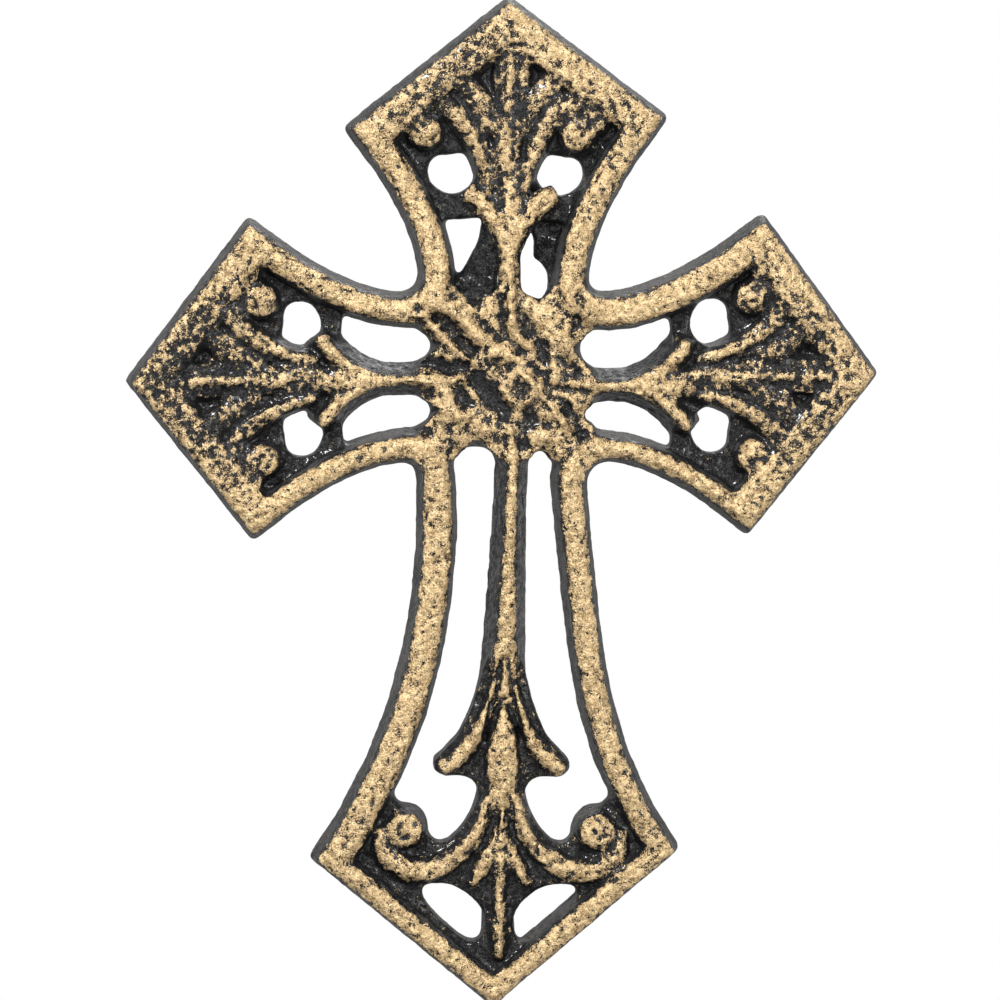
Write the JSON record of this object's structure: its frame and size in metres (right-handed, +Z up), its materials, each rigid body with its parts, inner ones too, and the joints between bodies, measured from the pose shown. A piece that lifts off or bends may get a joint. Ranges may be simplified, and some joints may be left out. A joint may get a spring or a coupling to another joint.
{
  "type": "cast iron wall cross",
  "caption": "Flat openwork wall cross with flared arms, pointed heads, scrolled palmettes, a carved crossing and a keyhole hanger cast in behind its top arm.",
  "frame": {"origin": "middle of the keyhole's round end, on the wall plane behind the cross", "axes": "+Z up the cross, +Y into the wall, so the front faces -Y, and +X to the viewer's right"},
  "size_m": [0.1792, 0.01, 0.2415],
  "materials": {
    "antiqued_iron": "as-cast iron painted black, with antique gold rubbed by hand over the raised faces and black left in the pits and hollows"
  },
  "bodies": {
    "root": {"cast_cross": "antiqued_iron"}
  },
  "joints": []
}
